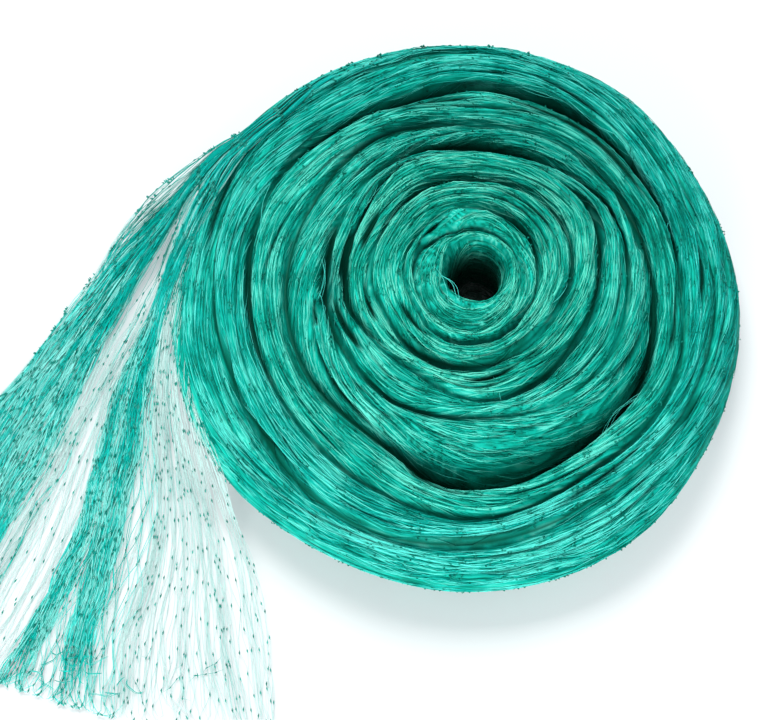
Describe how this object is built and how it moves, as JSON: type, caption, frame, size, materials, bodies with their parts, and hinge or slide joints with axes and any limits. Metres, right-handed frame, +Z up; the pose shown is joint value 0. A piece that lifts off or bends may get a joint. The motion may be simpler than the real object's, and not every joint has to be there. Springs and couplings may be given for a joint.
{
  "type": "bird netting roll",
  "caption": "Knotted bird netting gathered to a soft rope and wound into a flat round roll with an open eye, its loose end spread out beside it as a fan of net.",
  "frame": {"origin": "on the floor, under the middle of the bounding box of the roll and its loose end", "axes": "+Z up; the roll lies to +X and the loose end fans out towards -X and -Y"},
  "size_m": [0.4322, 0.3458, 0.082],
  "materials": {
    "gathered_netting": "satin sheen of fine nylon yarn",
    "spread_netting": "satin sheen of fine nylon yarn"
  },
  "bodies": {
    "root": {"wound_roll": "gathered_netting", "loose_end": "spread_netting"}
  },
  "joints": []
}
